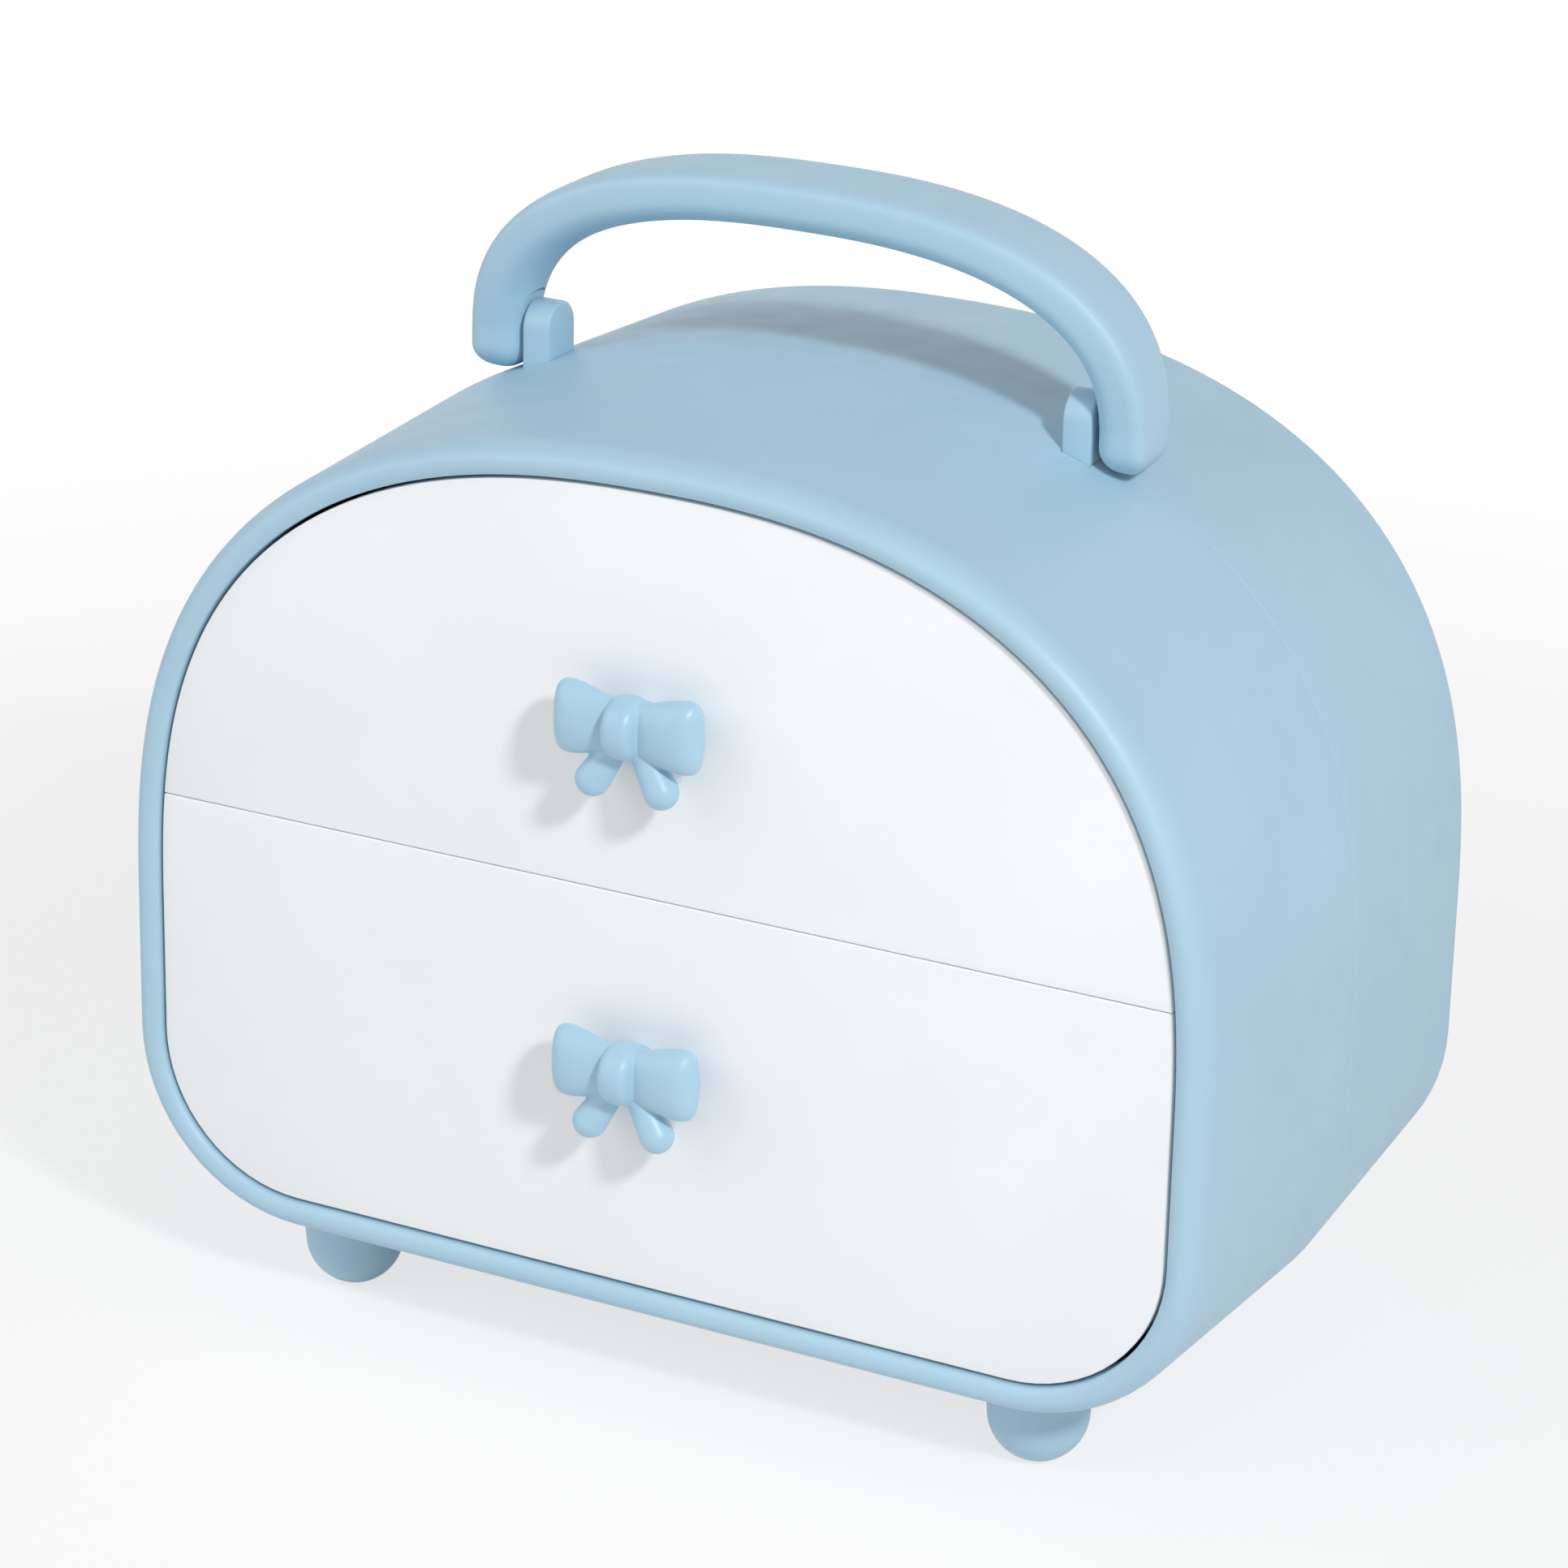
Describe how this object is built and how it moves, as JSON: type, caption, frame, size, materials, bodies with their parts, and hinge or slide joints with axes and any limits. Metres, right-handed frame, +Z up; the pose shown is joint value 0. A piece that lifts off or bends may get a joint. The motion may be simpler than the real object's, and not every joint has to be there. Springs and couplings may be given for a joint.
{
  "type": "hair accessory organizer",
  "caption": "Arched plastic carry box with stacked drawers behind white fronts, bow-shaped knobs, domed feet and a folding top handle, for storing hair accessories.",
  "frame": {"origin": "on the floor, under the middle of the whole part's box", "axes": "+X to the right seen from the drawers, +Y from the drawers to the back, +Z up"},
  "size_m": [0.2, 0.1222, 0.1956],
  "materials": {
    "blue_plastic": "fine satin moulded pastel blue",
    "bow_plastic": "semi-gloss moulded pastel blue",
    "white_plastic": "smooth satin white",
    "steel": "plain zinc-plated"
  },
  "bodies": {
    "case": {"front_shell": "blue_plastic", "rear_shell": "blue_plastic", "divider_shelf": "blue_plastic", "left_handle_lug": "blue_plastic", "right_handle_lug": "blue_plastic", "front_left_foot": "blue_plastic", "front_right_foot": "blue_plastic", "rear_left_foot": "blue_plastic", "rear_right_foot": "blue_plastic", "case_screws": "steel"},
    "handle": {"carry_handle": "blue_plastic", "left_handle_pin": "steel", "right_handle_pin": "steel"},
    "upper_drawer": {"upper_drawer_tray": "white_plastic", "upper_drawer_front": "white_plastic", "upper_bow_knob": "bow_plastic", "upper_knob_screw": "steel"},
    "lower_drawer": {"lower_drawer_tray": "white_plastic", "lower_drawer_front": "white_plastic", "lower_bow_knob": "bow_plastic", "lower_knob_screw": "steel"}
  },
  "joints": [
    {"name": "handle_fold", "type": "hinge", "parent": "case", "child": "handle", "pos_m": [0, 0.00465, 0.16279], "axis": [1, 0, 0], "range_deg": [-70, 70]},
    {"name": "upper_drawer_slide", "type": "slide", "parent": "case", "child": "upper_drawer", "axis": [0, -1, 0], "range_m": [0, 0.075]},
    {"name": "lower_drawer_slide", "type": "slide", "parent": "case", "child": "lower_drawer", "axis": [0, -1, 0], "range_m": [0, 0.075]}
  ]
}
